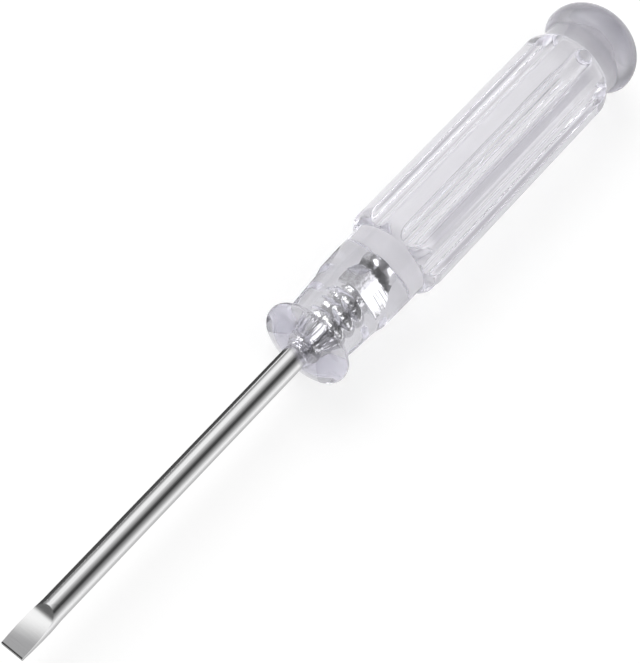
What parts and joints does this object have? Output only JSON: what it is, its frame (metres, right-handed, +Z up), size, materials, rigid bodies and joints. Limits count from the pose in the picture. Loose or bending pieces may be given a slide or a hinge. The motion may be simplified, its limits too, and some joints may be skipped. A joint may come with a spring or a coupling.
{
  "type": "flat tip screwdriver",
  "caption": "Small flat tip screwdriver: round polished steel blade, clear fluted handle with a flange and a domed cap.",
  "frame": {"origin": "centre of the blade's end face, on the tool's axis", "axes": "+X along the tool from the tip to the cap, +Z up as the tool comes to rest on a table, on two ribs of the grip with the flute between them straight down; the flats of the tip are then turned 22.5 degrees about X, from +Z towards +Y"},
  "size_m": [0.106, 0.0124, 0.0124],
  "materials": {
    "plated_steel": "bright nickel plate",
    "clear_plastic": "clear gloss moulding, faintly violet grey"
  },
  "bodies": {
    "root": {"blade": "plated_steel", "handle": "clear_plastic"}
  },
  "joints": []
}
